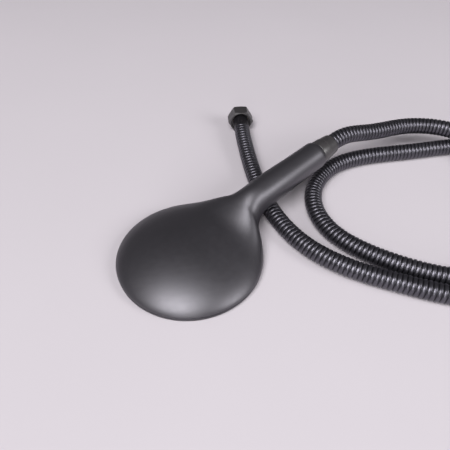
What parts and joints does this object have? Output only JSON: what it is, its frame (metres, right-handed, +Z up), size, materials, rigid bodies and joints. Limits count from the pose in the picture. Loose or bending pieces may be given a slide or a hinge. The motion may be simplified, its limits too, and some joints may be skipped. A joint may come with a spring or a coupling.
{
  "type": "hand shower with hose",
  "caption": "Round domed hand shower lying face down, with a ribbed metal hose that ends in a hexagon nut.",
  "frame": {"origin": "centre of the spray face's rim ring, in the plane that it rests on", "axes": "+X from the head along the handle, +Z up out of the dome's back"},
  "size_m": [0.4162, 0.3602, 0.0505],
  "materials": {
    "shell_black": "matte black moulded plastic, softly satin",
    "face_black": "matte black moulded plastic",
    "nozzle_silicone": "dark grey silicone",
    "inner_plastic": "dark moulded plastic",
    "clear_plastic": "milky translucent plastic",
    "seal_rubber": "black rubber",
    "stainless": "stainless steel",
    "brass": "turned brass",
    "nut_black": "matte black coated brass",
    "hose_metal": "black coated interlocked metal strip, satin"
  },
  "bodies": {
    "handset": {"back_shell": "shell_black", "trim_ring": "face_black", "faceplate": "face_black", "nozzle_mat": "nozzle_silicone", "chamber_plate": "inner_plastic", "chamber_seal": "seal_rubber", "centre_screw": "stainless", "screw_cap": "face_black", "water_tube": "clear_plastic", "tube_seals": "seal_rubber", "inlet_connector": "brass", "flow_restrictor": "clear_plastic", "valve_body": "clear_plastic", "valve_spring": "stainless", "filter_washer": "seal_rubber", "handset_insert": "brass", "handset_ferrule": "hose_metal", "hose_cover": "hose_metal", "hose_liner": "seal_rubber", "supply_ferrule": "hose_metal", "supply_insert": "brass", "supply_washer": "seal_rubber"},
    "nut": {"cone_nut": "nut_black"},
    "poppet": {"valve_poppet": "seal_rubber"},
    "slip": {"slip_ring": "inner_plastic"},
    "hexagon": {"hex_nut": "nut_black"}
  },
  "joints": [
    {"name": "cone_nut_turn", "type": "hinge", "parent": "handset", "child": "nut", "pos_m": [0.16544, 0, 0.03911], "axis": [0.9938, 0, 0.1115], "continuous": true},
    {"name": "valve_open", "type": "slide", "parent": "handset", "child": "poppet", "axis": [-0.9938, 0, -0.1115], "range_m": [0, 0.002], "stiffness_N_per_m": 120, "springref_m": -0.002, "deforming": ["valve_spring"]},
    {"name": "hex_nut_slide", "type": "slide", "parent": "handset", "child": "slip", "axis": [-0.5948, -0.8039, 0], "range_m": [0, 0.012]},
    {"name": "hex_nut_turn", "type": "hinge", "parent": "slip", "child": "hexagon", "pos_m": [0.16593, 0.12068, 0.012], "axis": [0.5948, 0.8039, 0], "continuous": true}
  ]
}
